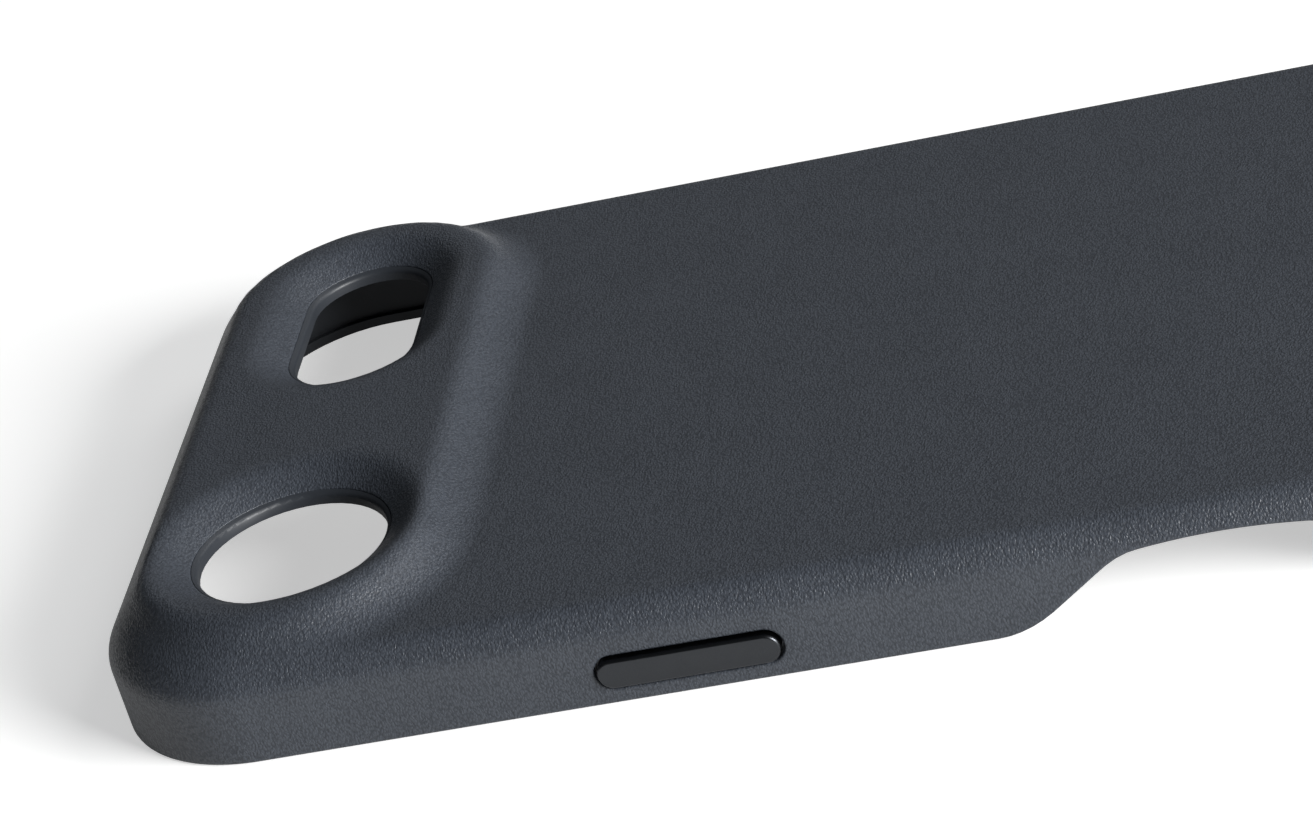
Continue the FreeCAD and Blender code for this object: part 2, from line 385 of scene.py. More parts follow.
@dataclass(frozen=True)
class PlanGrid:
    """A grid of places that fills the plan, with its corners on the outline's arcs.

    Attributes:
        form: The case's form.
        inset: Distance from the grid's edge to the outline.
        columns: Number of cells across.
        coarse_rows: Number of rows along the plain back.
        fine_rows: Number of rows along the camera end.
        fine_from: Where the fine rows start along Y.
    """

    form: CaseForm
    inset: float = 6.0 * MM
    columns: int = 116
    coarse_rows: int = 118
    fine_rows: int = 76
    fine_from: float = 42.0 * MM

    @property
    def rows(self) -> int:
        """Number of cells along the case."""
        return self.coarse_rows + self.fine_rows

    def side(self, s: np.ndarray, across: float, along: float) -> tuple[np.ndarray, np.ndarray]:
        """Places on one side of the grid's edge, from arc middle to arc middle.

        Args:
            s: Distance along the side, from its middle.
            across: Half size of the plan at right angles to the side.
            along: Half size of the plan along the side.

        Returns:
            Places at right angles to the side, and along it.
        """
        r = self.form.corner_r - self.inset
        straight = along - r
        turn = np.maximum(np.abs(s) - straight, 0.0) / r
        run = np.minimum(np.abs(s), straight) + r * np.sin(turn)
        return across - r + r * np.cos(turn), np.sign(s) * run

    def places(self) -> np.ndarray:
        """Places of all grid points.

        Returns:
            An array of rows by columns by two.
        """
        a = self.form.width / 2 - self.inset
        b = self.form.length / 2 - self.inset
        arc = (self.form.corner_r - self.inset) * math.pi / 4
        reach_x = a - (self.form.corner_r - self.inset) + arc
        reach_y = b - (self.form.corner_r - self.inset) + arc
        sx = np.linspace(-reach_x, reach_x, self.columns + 1)
        coarse = np.linspace(-reach_y, self.fine_from, self.coarse_rows, endpoint=False)
        sy = np.concatenate([coarse, np.linspace(self.fine_from, reach_y, self.fine_rows + 1)])
        end_y, end_x = self.side(sx, b, a)
        side_x, side_y = self.side(sy, a, b)
        u = np.linspace(0.0, 1.0, self.columns + 1)[None, :]
        v = ((sy + reach_y) / (2 * reach_y))[:, None]
        corner_x, corner_y = end_x[-1], end_y[-1]
        x = np.broadcast_to(end_x[None, :], (self.rows + 1, self.columns + 1))
        x = x + (2 * u - 1) * side_x[:, None] - (2 * u - 1) * corner_x
        y = (2 * v - 1) * end_y[None, :] + side_y[:, None] - (2 * v - 1) * corner_y
        return np.stack([x, y], axis=2)


@dataclass(frozen=True)
class LeatherSkin:
    """The leather that is drawn over the shell, as one closed skin.

    Attributes:
        form: The case's form.
        grid: Places of the back's vertices.
        thickness: Thickness of the leather.
        lip: Radius of the rounded lower edge.
        lip_turns: Angles of the rings on that edge in degrees.
        crease: Turn from which an edge stays sharp, in degrees.
        step: Least distance between two rings on the back.
        edge_depths: Depths of the rings inside the outline, in millimetres.
        wall_shares: Shares of the wall's height at which its rings lie.
    """

    form: CaseForm
    grid: PlanGrid
    thickness: float = 0.7 * MM
    lip: float = 0.25 * MM
    lip_turns: tuple[float, ...] = (30.0, 60.0, 90.0)
    crease: float = 50.0
    step: float = 0.15 * MM
    edge_depths: tuple[float, ...] = (
        5.3, 4.6, 4.0, 3.45, 2.95, 2.5, 2.1, 1.75, 1.45, 1.2, 0.97, 0.75)
    wall_shares: tuple[float, ...] = (
        0.035, 0.07, 0.105, 0.14, 0.175, 0.21, 0.26, 0.34, 0.44, 0.55, 0.66, 0.77, 0.88, 1.0)

    def rings(self, base: np.ndarray, inset: float) -> list[np.ndarray]:
        """Rings from the grid's edge over the round edge and down the wall.

        Args:
            base: Places of the grid's edge.
            inset: How far the surface lies inside the outer one.

        Returns:
            The places of every ring.
        """
        form = self.form
        normal = form.outline_normal(base[:, 0], base[:, 1])

        def at(depth: np.ndarray, z: np.ndarray) -> np.ndarray:
            """Places at a depth inside the outline and at a height."""
            plan = base + normal * (self.grid.inset - depth)[:, None]
            return np.column_stack([plan, z])

        def on_top(depth: float) -> np.ndarray:
            """Places of the back at a depth inside the outline."""
            plan = base + normal * (self.grid.inset - depth)
            return np.column_stack([plan, form.top(plan[:, 0], plan[:, 1], inset)])

        rho = form.edge_round - inset
        tangent = rho * math.tan((math.pi / 2 - form.slope) / 2)
        start = inset + tangent * math.cos(form.slope)
        steps = np.array(self.edge_depths) * MM
        depths = [d for d in steps if d > start + self.step] + [start]
        out = [on_top(d) for d in depths]
        wall = base + normal * (self.grid.inset - inset)
        crest = form.top(wall[:, 0], wall[:, 1], inset)
        high = crest + tangent * math.sin(form.slope)
        low = form.foot(wall[:, 0], wall[:, 1])
        waist = crest - tangent

        def wall_depth(z: np.ndarray) -> np.ndarray:
            """Depth of the rounded wall at a height."""
            up = np.clip(z - waist, 0.0, rho)
            return inset + rho - np.sqrt(rho ** 2 - up ** 2)

        turn = 0.0 if inset else self.lip
        shares = list(self.wall_shares)
        for share in shares[1::2] + [1.0] if inset else shares:
            z = high + (low + turn - high) * share
            out.append(at(wall_depth(z), z))
        if not inset:
            for angle in map(math.radians, self.lip_turns):
                z = low + self.lip * (1 - math.sin(angle))
                out.append(at(wall_depth(z) + self.lip * (1 - math.cos(angle)), z))
        return out

    def sheet(self, name: str, inset: float) -> bpy.types.Object:
        """Model one face of the skin: a draped grid with its edge extruded down the wall.

        Args:
            name: Name of the mesh.
            inset: How far the face lies inside the outer one.

        Returns:
            The open mesh.
        """
        bpy.ops.object.select_all(action="DESELECT")
        bpy.ops.mesh.primitive_grid_add(
            x_subdivisions=self.grid.columns, y_subdivisions=self.grid.rows, size=2.0)
        obj = new_piece(name)
        places = self.grid.places()
        raw = np.array([v.co for v in obj.data.vertices])
        column = np.rint((raw[:, 0] + 1) / 2 * self.grid.columns).astype(int)
        row = np.rint((raw[:, 1] + 1) / 2 * self.grid.rows).astype(int)
        plan = places[row, column]
        z = self.form.top(plan[:, 0], plan[:, 1], inset)
        obj.data.vertices.foreach_set("co", np.column_stack([plan, z]).astype(np.float32).ravel())
        edge = (column % self.grid.columns == 0) | (row % self.grid.rows == 0)
        number = np.cumsum(edge) - 1
        stations = obj.data.attributes.new(STATION, "INT", "POINT")
        stations.data.foreach_set("value", number.astype(np.int32))
        rings = self.rings(plan[edge], inset)
        use_only(obj)
        bpy.ops.object.mode_set(mode="EDIT")
        bpy.ops.mesh.select_mode(type="EDGE")
        bpy.ops.mesh.select_all(action="DESELECT")
        bpy.ops.mesh.select_non_manifold(extend=False, use_wire=False, use_multi_face=False,
                                         use_non_contiguous=False, use_verts=False)
        extrude_rings(obj, rings)
        bpy.ops.object.mode_set(mode="OBJECT")
        return obj

    def build(self, cutters: Sequence[bpy.types.Object]) -> bpy.types.Object:
        """Model the whole skin and cut its openings.

        Args:
            cutters: Closed meshes of everything that goes through the leather.

        Returns:
            The finished skin.
        """
        outer = self.sheet("leather_cover", 0.0)
        inner = self.sheet("leather_back", self.thickness)
        use_only(inner)
        bpy.ops.object.mode_set(mode="EDIT")
        bpy.ops.mesh.select_all(action="SELECT")
        bpy.ops.mesh.flip_normals()
        bpy.ops.object.mode_set(mode="OBJECT")
        use_only(outer)
        inner.select_set(True)
        bpy.ops.object.join()
        bpy.ops.object.mode_set(mode="EDIT")
        bpy.ops.mesh.select_all(action="DESELECT")
        bpy.ops.mesh.select_non_manifold(extend=False, use_wire=False, use_multi_face=False,
                                         use_non_contiguous=False, use_verts=False)
        bpy.ops.mesh.bridge_edge_loops()
        bpy.ops.object.mode_set(mode="OBJECT")
        outer.data.attributes.remove(outer.data.attributes[STATION])
        recalculate_normals(outer)
        cut_openings(outer, cutters)
        smooth(outer, self.crease)
        return outer


def cut_openings(obj: bpy.types.Object, cutters: Sequence[bpy.types.Object]) -> None:
    """Take closed meshes out of a piece and delete them.

    Args:
        obj: The piece.
        cutters: The meshes to take out, two or more and clear of each other.
    """
    tool = cutters[0]
    use_only(tool)
    for other in cutters[1:]:
        other.select_set(True)
    bpy.ops.object.join()
    cut = obj.modifiers.new("openings", "BOOLEAN")
    cut.operation = "DIFFERENCE"
    cut.solver = "EXACT"
    cut.object = tool
    apply_modifiers(obj)
    bpy.data.objects.remove(tool)
    use_only(obj)
    bpy.ops.object.mode_set(mode="EDIT")
    bpy.ops.mesh.select_all(action="SELECT")
    bpy.ops.mesh.remove_doubles(threshold=SLIVER)
    bpy.ops.mesh.dissolve_degenerate(threshold=SLIVER)
    bpy.ops.mesh.select_all(action="DESELECT")
    bpy.ops.mesh.select_mode(type="FACE")
    bpy.ops.mesh.select_face_by_sides(number=4, type="GREATER", extend=False)
    bpy.ops.mesh.quads_convert_to_tris(quad_method="BEAUTY", ngon_method="BEAUTY")
    bpy.ops.object.mode_set(mode="OBJECT")


@dataclass(frozen=True)
class Spool:
    """A closed stadium-shaped turning, built ring by ring along its axis.

    Attributes:
        name: Name of the mesh.
        wall: Face that its axis points out of.
        centre: Its centre, as two places in that face.
        rings: Half length of the centre line, radius and height of every ring.
        arc: Number of steps in a half turn.
    """

    name: str
    wall: Wall
    centre: tuple[float, float]
    rings: tuple[tuple[float, float, float], ...]
    arc: int = 28

    def placed(self, flat: np.ndarray) -> np.ndarray:
        """Stand places built on +Z up on their wall.

        Args:
            flat: Places with the long side along X and the axis along Z.

        Returns:
            The places in the case's frame.
        """
        u, v, w = flat[:, 0], flat[:, 1], flat[:, 2]
        a, b = self.centre
        if self.wall is Wall.BACK:
            return np.column_stack([a + u, b + v, w])
        if self.wall is Wall.BOTTOM:
            return np.column_stack([a + u, -w, b + v])
        side = 1.0 if self.wall is Wall.FAR else -1.0
        return np.column_stack([side * w, a + side * u, b + v])

    def ring(self, half: float, radius: float, height: float) -> np.ndarray:
        """Places of one ring.

        Args:
            half: Half length of the centre line.
            radius: Radius of the ends.
            height: Place along the axis.

        Returns:
            The places of all stations.
        """
        turn = np.linspace(-math.pi / 2, math.pi / 2, self.arc + 1)
        if self.rings[0][0] == 0.0:
            angle = np.linspace(0.0, 2 * math.pi, 2 * self.arc + 2, endpoint=False)
            shift = np.zeros_like(angle)
        else:
            angle = np.concatenate([turn, turn + math.pi])
            shift = np.repeat([half, -half], self.arc + 1)
        flat = [shift + radius * np.cos(angle), radius * np.sin(angle), np.full_like(angle, height)]
        return self.placed(np.column_stack(flat))

    def build(self) -> bpy.types.Object:
        """Model the turning from a circle.

        Returns:
            The closed mesh.
        """
        bpy.ops.object.select_all(action="DESELECT")
        bpy.ops.mesh.primitive_circle_add(vertices=2 * self.arc + 2, radius=1.0)
        obj = new_piece(self.name)
        places = [self.ring(*r) for r in self.rings]
        obj.data.vertices.foreach_set("co", places[0].astype(np.float32).ravel())
        stations = obj.data.attributes.new(STATION, "INT", "POINT")
        stations.data.foreach_set("value", np.arange(2 * self.arc + 2, dtype=np.int32))
        use_only(obj)
        bpy.ops.object.mode_set(mode="EDIT")
        bpy.ops.mesh.select_mode(type="EDGE")
        bpy.ops.mesh.select_all(action="SELECT")
        extrude_rings(obj, places[1:])
        bpy.ops.mesh.select_all(action="SELECT")
        bpy.ops.mesh.fill_holes(sides=0)
        bpy.ops.object.mode_set(mode="OBJECT")
        obj.data.attributes.remove(obj.data.attributes[STATION])
        recalculate_normals(obj)
        return obj


def arc_steps(start: float, end: float, count: int) -> list[float]:
    """Angles of an arc in radians.

    Args:
        start: First angle in degrees.
        end: Last angle in degrees.
        count: Number of steps.

    Returns:
        The angles, both ends included.
    """
    return [math.radians(start + (end - start) * i / count) for i in range(count + 1)]


@dataclass(frozen=True)
class Slots:
    """Cutters for everything that goes through the leather.

    Attributes:
        form: The case's form.
        roll: Radius of the rolled edge round a side slot.
        dish_roll: Radius of the rounded edge at the openings in the back.
        depth: How far a cutter reaches into the case.
        flare: Angle at which a cutter opens above the surface, in degrees.
        flare_out: How far it opens.
        flare_up: How far it rises above an opening in the back.
    """

    form: CaseForm
    roll: float = 0.25 * MM
    roll_steps: int = 6
    dish_roll: float = 0.1 * MM
    dish_roll_steps: int = 5
    dish_arc: int = 60
    depth: float = 3.0 * MM
    flare: float = 8.0
    flare_out: float = 1.0 * MM
    flare_up: float = 6.0 * MM

    def side(self, wall: Wall, centre: tuple[float, float], length: float, height: float,
             face: float) -> bpy.types.Object:
        """Model the cutter of a slot with a rolled edge.

        Args:
            wall: Wall that the slot goes through.
            centre: Middle of the slot in that wall.
            length: Length of the slot.
            height: Height of the slot.
            face: Distance of the wall's face from the case's middle.

        Returns:
            The closed mesh.
        """
        radius = height / 2
        half = length / 2 - radius
        q = self.roll
        rings = [(half, radius, face - self.depth)]
        for angle in arc_steps(180.0, 90.0 + self.flare, self.roll_steps):
            rings.append((half, radius + q + q * math.cos(angle), face - q + q * math.sin(angle)))
        last = rings[-1]
        rise = self.flare_out * math.tan(math.radians(self.flare))
        rings.append((half, last[1] + self.flare_out, last[2] + rise))
        return Spool("cut", wall, centre, tuple(rings)).build()

    def back(self, opening: Opening) -> bpy.types.Object:
        """Model the cutter of an opening in the back with a rounded edge.

        Args:
            opening: The opening.

        Returns:
            The closed mesh.
        """
        form = self.form
        radius = form.leather_radius(opening)
        slope = form.dish_slope
        q = self.dish_roll
        centre_z = form.tuck_z + q * math.tan(slope) - q / math.cos(slope)
        rings = [(opening.half, radius, form.tuck_z - self.depth)]
        end = 90.0 + math.degrees(slope) + self.flare
        for angle in arc_steps(180.0, end, self.dish_roll_steps):
            r = radius + q + q * math.cos(angle)
            rings.append((opening.half, r, centre_z + q * math.sin(angle)))
        last = rings[-1]
        steep = math.tan(slope + math.radians(self.flare))
        rings.append((opening.half, last[1] + self.flare_out, last[2] + self.flare_out * steep))
        rings.append((opening.half, last[1] + self.flare_out, last[2] + self.flare_up))
        centre = (opening.x, form.opening_y)
        name = "cut_" + opening.name
        return Spool(name, Wall.BACK, centre, tuple(rings), self.dish_arc).build()


@dataclass(frozen=True)
class Control:
    """A press control in a side wall: a rounded cap with a thin flange behind it.

    Attributes:
        body: Body that the control rides on.
        wall: Wall that it stands in.
        y: Middle of the cap along Y.
        length: Length of the cap.
        crown_rings: Share of the flat's radius and of the crown below the top, ring by ring.
    """

    body: Body
    wall: Wall
    y: float
    length: float
    z: float = 3.0 * MM
    height: float = 2.7 * MM
    gap: float = 0.22 * MM
    edge: float = 0.3 * MM
    edge_turn: float = 84.0
    edge_steps: int = 7
    arc: int = 32
    crown: float = 0.05 * MM
    flange_over: float = 0.85 * MM
    flange_height: float = 3.7 * MM
    flange: float = 0.3 * MM
    flange_edge: float = 0.04 * MM
    crown_rings: tuple[tuple[float, float], ...] = ((0.5, 0.25), (0.1, 0.0))

    def build(self) -> bpy.types.Object:
        """Model the control in the place of its solid.

        Returns:
            The finished control.
        """
        low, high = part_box(self.body.value)
        back, face = sorted((abs(low.x), abs(high.x)))
        radius = self.height / 2
        half = self.length / 2 - radius
        wide = self.flange_height / 2
        wide_half = self.length / 2 + self.flange_over - wide
        seat = back + self.flange
        bevel = self.flange_edge
        rings = [(wide_half, wide - bevel, back), (wide_half, wide, back + bevel)]
        rings += [(wide_half, wide, seat - bevel), (wide_half, wide - bevel, seat)]
        rings += [(half, radius, seat)]
        e = self.edge
        for angle in arc_steps(0.0, self.edge_turn, self.edge_steps):
            z = face - self.crown - e + e * math.sin(angle)
            rings.append((half, radius - e + e * math.cos(angle), z))
        for share, below in self.crown_rings:
            rings.append((half, (radius - e) * share, face - below * self.crown))
        name = self.body.value.replace("button", "control")
        obj = Spool(name, self.wall, (self.y, self.z), tuple(rings), self.arc).build()
        smooth(obj, SOFT_CREASE)
        return obj


class NodeSheet:
    """Adds and links the nodes of one tree."""

    def __init__(self, tree: bpy.types.NodeTree) -> None:
        """Keep the tree.

        Args:
            tree: The tree to work on.
        """
        self.tree = tree

    def add(self, kind: str, settings: dict | None = None, **values: object) -> bpy.types.Node:
        """Add a node.

        Args:
            kind: Its type, without the leading ShaderNode.
            settings: Properties of the node.
            **values: Input values by name, with _ for a blank.

        Returns:
            The node.
        """
        node = self.tree.nodes.new("ShaderNode" + kind)
        for key, value in (settings or {}).items():
            setattr(node, key, value)
        for key, value in values.items():
            node.inputs[key.replace("_", " ")].default_value = value
        return node

    def link(self, source: bpy.types.NodeSocket, target: bpy.types.NodeSocket) -> None:
        """Link an output to an input."""
        self.tree.links.new(source, target)

    def mix(self, factor: bpy.types.NodeSocket, a: Sequence[float],
            b: Sequence[float]) -> bpy.types.NodeSocket:
        """Mix two colours.

        Args:
            factor: Share of the second colour.
            a: First colour.
            b: Second colour.

        Returns:
            The mixed colour.
        """
        node = self.add("Mix", {"data_type": "RGBA"})
        colours = [s for s in node.inputs if s.type == "RGBA"]
        colours[0].default_value = (*a, 1.0)
        colours[1].default_value = (*b, 1.0)
        self.link(factor, node.inputs["Factor"])
        return next(s for s in node.outputs if s.type == "RGBA")

    def ramp(self, value: bpy.types.NodeSocket, low: float, high: float, to_low: float,
             to_high: float) -> bpy.types.NodeSocket:
        """Map a range of values to another.

        Args:
            value: The value.
            low: Start of its range.
            high: End of its range.
            to_low: Result at the start.
            to_high: Result at the end.

        Returns:
            The mapped value.
        """
        node = self.add("MapRange", {"clamp": True})
        keys = ("From Min", "From Max", "To Min", "To Max")
        for key, number in zip(keys, (low, high, to_low, to_high)):
            node.inputs[key].default_value = number
        self.link(value, node.inputs["Value"])
        return node.outputs["Result"]

    def maths(self, operation: str, a: bpy.types.NodeSocket,
              b: bpy.types.NodeSocket | float) -> bpy.types.NodeSocket:
        """Combine two values.

        Args:
            operation: Name of the operation.
            a: First value.
            b: Second value, linked or plain.

        Returns:
            The result.
        """
        node = self.add("Math", {"operation": operation})
        self.link(a, node.inputs[0])
        if isinstance(b, (int, float)):
            node.inputs[1].default_value = b
        else:
            self.link(b, node.inputs[1])
        return node.outputs[0]


def new_group(
    name: str, inputs: Sequence[tuple[str, str, float]], outputs: Sequence[str],
) -> tuple[bpy.types.NodeTree, NodeSheet, bpy.types.Node, bpy.types.Node]:
    """Start a shader node group.

    Args:
        name: Name of the group.
        inputs: Name, socket type and default of every plain input.
        outputs: Names of the value outputs.

    Returns:
        The tree, its sheet, and its input and output nodes.
    """
    tree = bpy.data.node_groups.new(name, "ShaderNodeTree")
    tree.interface.new_socket("Vector", in_out="INPUT", socket_type="NodeSocketVector")
    for label, kind, value in inputs:
        tree.interface.new_socket(label, in_out="INPUT", socket_type=kind).default_value = value
    for label in outputs:
        tree.interface.new_socket(label, in_out="OUTPUT", socket_type="NodeSocketFloat")
    source = tree.nodes.new("NodeGroupInput")
    sink = tree.nodes.new("NodeGroupOutput")
    return tree, NodeSheet(tree), source, sink


def grain_group() -> bpy.types.NodeTree:
    """Build the pebbled grain that leather shows.

    Returns:
        The group, with a height, a crease mask and a slow patch mask. On the leather, the crease
        mask darkens the colour in the creases as painted shade.
    """
    inputs = (("Cells", "NodeSocketFloat", 3000.0), ("Stretch", "NodeSocketFloat", 0.72))
    tree, sheet, source, sink = new_group("pebbled_grain", inputs, ("Height", "Crease", "Patch"))
    scale = sheet.add("CombineXYZ", X=1.0, Y=1.0, Z=1.0)
    sheet.link(source.outputs["Stretch"], scale.inputs["X"])
    sheet.link(source.outputs["Stretch"], scale.inputs["Z"])
    stretched = sheet.add("VectorMath", {"operation": "MULTIPLY"})
    sheet.link(source.outputs["Vector"], stretched.inputs[0])
    sheet.link(scale.outputs[0], stretched.inputs[1])
    sized = sheet.add("VectorMath", {"operation": "SCALE"})
    sheet.link(stretched.outputs[0], sized.inputs[0])
    sheet.link(source.outputs["Cells"], sized.inputs["Scale"])
    drift = sheet.add("TexNoise", Scale=0.45, Detail=2.0)
    sheet.link(sized.outputs[0], drift.inputs["Vector"])
    pull = sheet.add("VectorMath", {"operation": "SCALE"})
    pull.inputs["Scale"].default_value = 0.8
    sheet.link(drift.outputs["Color"], pull.inputs[0])
    bent = sheet.add("VectorMath", {"operation": "ADD"})
    sheet.link(sized.outputs[0], bent.inputs[0])
    sheet.link(pull.outputs[0], bent.inputs[1])
    cells = sheet.add("TexVoronoi", {"feature": "SMOOTH_F1"}, Scale=1.0, Smoothness=0.3)
    sheet.link(bent.outputs[0], cells.inputs["Vector"])
    fine = sheet.add("TexNoise", Scale=1.4, Detail=2.0, Roughness=0.55)
    sheet.link(bent.outputs[0], fine.inputs["Vector"])
    slow = sheet.add("TexNoise", Scale=0.035, Detail=3.0, Roughness=0.55)
    sheet.link(sized.outputs[0], slow.inputs["Vector"])
    pebble = sheet.ramp(cells.outputs["Distance"], 0.05, 0.75, 1.0, 0.0)
    rough = sheet.ramp(fine.outputs["Fac"], 0.3, 0.7, 0.0, 0.7)
    height = sheet.maths("ADD", pebble, rough)
    sheet.link(height, sink.inputs["Height"])
    # Crease mask, 1 in the grain's low places: it raises the roughness there, and on the leather it
    # darkens the colour as painted shade.
    sheet.link(sheet.ramp(height, 0.35, 0.95, 1.0, 0.0), sink.inputs["Crease"])
    sheet.link(sheet.ramp(slow.outputs["Fac"], 0.35, 0.65, 0.0, 1.0), sink.inputs["Patch"])
    return tree


def speckle_group() -> bpy.types.NodeTree:
    """Build the fine speckle of moulded and blasted surfaces.

    Returns:
        The group, with a height and a slow patch mask.
    """
    tree, sheet, source, sink = new_group(
        "fine_speckle", (("Cells", "NodeSocketFloat", 8000.0),), ("Height", "Patch"))
    sized = sheet.add("VectorMath", {"operation": "SCALE"})
    sheet.link(source.outputs["Vector"], sized.inputs[0])
    sheet.link(source.outputs["Cells"], sized.inputs["Scale"])
    fine = sheet.add("TexNoise", Scale=1.0, Detail=2.0, Roughness=0.6)
    slow = sheet.add("TexNoise", Scale=0.04, Detail=3.0, Roughness=0.5)
    for node in (fine, slow):
        sheet.link(sized.outputs[0], node.inputs["Vector"])
    sheet.link(sheet.ramp(fine.outputs["Fac"], 0.25, 0.75, 0.0, 1.0), sink.inputs["Height"])
    sheet.link(sheet.ramp(slow.outputs["Fac"], 0.35, 0.65, 0.0, 1.0), sink.inputs["Patch"])
    return tree


@dataclass(frozen=True)
class Finish:
    """A finish with two colours, a surface pattern and its own gloss.

    Attributes:
        name: Name of the material.
        low: Colour in the creases and dark patches. On the grained leather, the darker creases are
            painted shade.
        high: Colour on the raised places.
        roughness: Roughness on raised places and in creases.
        cells: Number of pattern cells in a metre.
        depth: Depth of the pattern.
        metallic: Share of metal.
        sheen: Weight of the sheen.
        mottle: Share of the slow patches in the colour.
    """

    name: str
    low: tuple[float, float, float]
    high: tuple[float, float, float]
    roughness: tuple[float, float]
    cells: float
    depth: float
    metallic: float = 0.0
    sheen: float = 0.0
    mottle: float = 0.15

    def material(self, group: bpy.types.NodeTree) -> bpy.types.Material:
        """Make the material.

        Args:
            group: Pattern that gives the height and the masks.

        Returns:
            The material.
        """
        material = bpy.data.materials.new(self.name)
        material.use_nodes = True
        sheet = NodeSheet(material.node_tree)
        shader = next(n for n in material.node_tree.nodes if n.type == "BSDF_PRINCIPLED")
        place = sheet.add("TexCoord")
        pattern = sheet.add("Group", {"node_tree": group})
        pattern.inputs["Cells"].default_value = self.cells
        sheet.link(place.outputs["Object"], pattern.inputs["Vector"])
        # The mask pulls the colour towards low. On the grained leather that darkens the creases as
        # painted shade; on the speckled finishes it is random tone.
        mask = pattern.outputs.get("Crease") or pattern.outputs["Height"]
        tone = sheet.maths("MULTIPLY", mask, 1.0 - self.mottle)
        patch = sheet.maths("MULTIPLY", pattern.outputs["Patch"], self.mottle)
        tone = sheet.maths("ADD", tone, patch)
        sheet.link(sheet.mix(tone, self.high, self.low), shader.inputs["Base Color"])
        sheet.link(sheet.ramp(mask, 0.0, 1.0, *self.roughness), shader.inputs["Roughness"])
        bump = sheet.add("Bump", Strength=1.0, Distance=self.depth)
        sheet.link(pattern.outputs["Height"], bump.inputs["Height"])
        sheet.link(bump.outputs["Normal"], shader.inputs["Normal"])
        shader.inputs["Metallic"].default_value = self.metallic
        shader.inputs["Sheen Weight"].default_value = self.sheen
        return material


# Leather colours: low, in the grain's creases, is painted shade; high is on the raised places; the
# slow patches are random tone.
LEATHER = Finish("grained_leather", (0.026, 0.0305, 0.039), (0.052, 0.0595, 0.073), (0.37, 0.5),
                 4700.0, 0.000036)
MOULDING = Finish("satin_moulding", (0.021, 0.0245, 0.03), (0.027, 0.031, 0.038), (0.42, 0.5),
                  9000.0, 0.000002)
NAP = Finish("napped_lining", (0.018, 0.021, 0.027), (0.034, 0.038, 0.047), (0.88, 0.96),
             5200.0, 0.00012, sheen=0.35)
ANODISED = Finish("anodised_metal", (0.05, 0.053, 0.058), (0.062, 0.065, 0.07), (0.26, 0.34),
                  14000.0, 0.0000015, metallic=1.0)


def dress(obj: bpy.types.Object, material: bpy.types.Material, body: Body, slot: Slot,
          *nodes: str) -> None:
    """Give a finished piece its material, body, slot and the nodes that it stands for.

    Args:
        obj: The piece.
        material: Its material.
        body: Body that it rides on.
        slot: Material slot of the record; not used.
        *nodes: Solids that it stands for.
    """
    obj.data.materials.clear()
    obj.data.materials.append(material)
    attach(obj, body.value)
    if nodes:
        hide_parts(*nodes)
    LOG.info("%s: %d faces on %s", obj.name, len(obj.data.polygons), body.value)


@dataclass(frozen=True)
class Shell:
    """The moulded inner shell: a merged copy of its solid with soft shading."""

    node: str = "inner_shell"
    merge: float = 0.002 * MM
    crease: float = 52.0

    def build(self) -> bpy.types.Object:
        """Copy the solid's mesh, merge it and shade it.

        Returns:
            The finished shell.
        """
        obj = bpy.data.objects.new("shell_moulding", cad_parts[self.node].data.copy())
        bpy.context.scene.collection.objects.link(obj)
        use_only(obj)
        bpy.ops.mesh.customdata_custom_splitnormals_clear()
        recalculate_normals(obj, self.merge)
        smooth(obj, self.crease)
        return obj


@dataclass(frozen=True)
class Lining:
    """The napped sheet that is bonded to the pocket's floor."""

    node: str = "back_lining"
    corner_r: float = 10.8 * MM
    steps: int = 12
    pillow: float = 0.1 * MM
    pillow_steps: int = 3

    def build(self) -> bpy.types.Object:
        """Model the sheet from a plane with two round corners and a soft edge.

        Returns:
            The finished sheet.
        """
        low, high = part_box(self.node)
        size = high - low
        bpy.ops.object.select_all(action="DESELECT")
        bpy.ops.mesh.primitive_plane_add(size=1.0, location=(low + high) / 2, scale=(1, 1, 1))
        obj = new_piece("lining_sheet")
        bpy.ops.transform.resize(value=(size.x, size.y, 1.0))
        bpy.ops.object.transform_apply(location=True, rotation=True, scale=True)
        bpy.ops.object.mode_set(mode="EDIT")
        mesh = bmesh.from_edit_mesh(obj.data)
        for vertex in mesh.verts:
            vertex.co.z = high.z
            vertex.select = vertex.co.y < 0.0
        mesh.select_flush_mode()
        bmesh.update_edit_mesh(obj.data)
        bpy.ops.mesh.bevel(offset=self.corner_r, segments=self.steps, affect="VERTICES")
        bpy.ops.mesh.select_all(action="SELECT")
        bpy.ops.mesh.extrude_region_move(TRANSFORM_OT_translate={"value": (0, 0, -size.z)})
        bpy.ops.object.mode_set(mode="OBJECT")
        recalculate_normals(obj)
        edge = obj.modifiers.new("soft_edge", "BEVEL")
        edge.width = self.pillow
        edge.segments = self.pillow_steps
        edge.limit_method = "ANGLE"
        apply_modifiers(obj)
        smooth(obj, SOFT_CREASE)
        return obj


